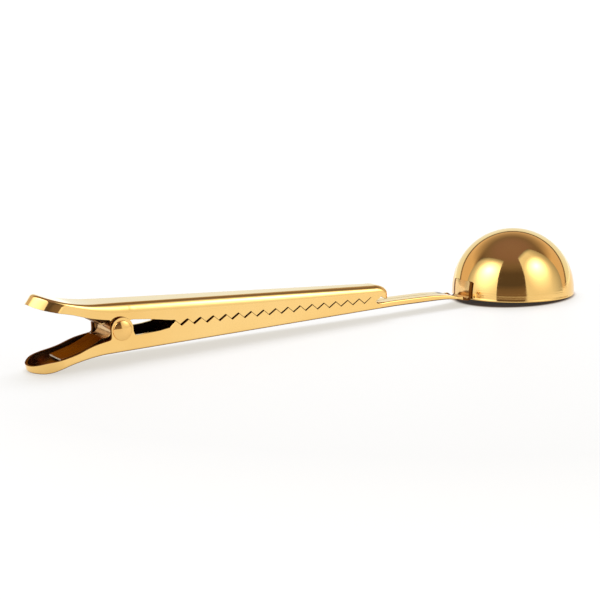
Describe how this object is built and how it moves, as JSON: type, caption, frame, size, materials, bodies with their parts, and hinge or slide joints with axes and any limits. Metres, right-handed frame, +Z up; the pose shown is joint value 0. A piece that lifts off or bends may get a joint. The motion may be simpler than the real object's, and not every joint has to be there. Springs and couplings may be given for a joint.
{
  "type": "bag clip with measuring scoop",
  "caption": "Sprung metal bag clip with two toothed channel jaws hinged at short levers; the lower arm runs on as a handle to a round measuring scoop.",
  "frame": {"origin": "middle of the bounding box's underside, on the table that the clip lies on", "axes": "+X from the levers along the handle to the bowl, +Z up from the table, Y = 0 is the mirror plane"},
  "size_m": [0.1774, 0.0374, 0.0214],
  "materials": {
    "gold_sheet": "mirror-polished steel sheet, plated gold",
    "gold_bowl": "mirror-polished spun steel, plated gold, with fine turning lines",
    "gold_rivet": "polished rivet, plated gold",
    "spring_steel": "satin spring strip, plated gold"
  },
  "bodies": {
    "handle": {"handle_arm": "gold_sheet", "scoop_bowl": "gold_bowl", "pivot_rivet": "gold_rivet", "leaf_spring": "spring_steel"},
    "jaw": {"jaw_arm": "gold_sheet"}
  },
  "joints": [
    {"name": "jaw_hinge", "type": "hinge", "parent": "handle", "child": "jaw", "pos_m": [-0.06331, 0, 0.0092], "axis": [0, -1, 0], "range_deg": [0, 33], "stiffness_Nm_per_rad": 0.8, "springref_deg": -28.65, "deforming": ["leaf_spring"]}
  ]
}
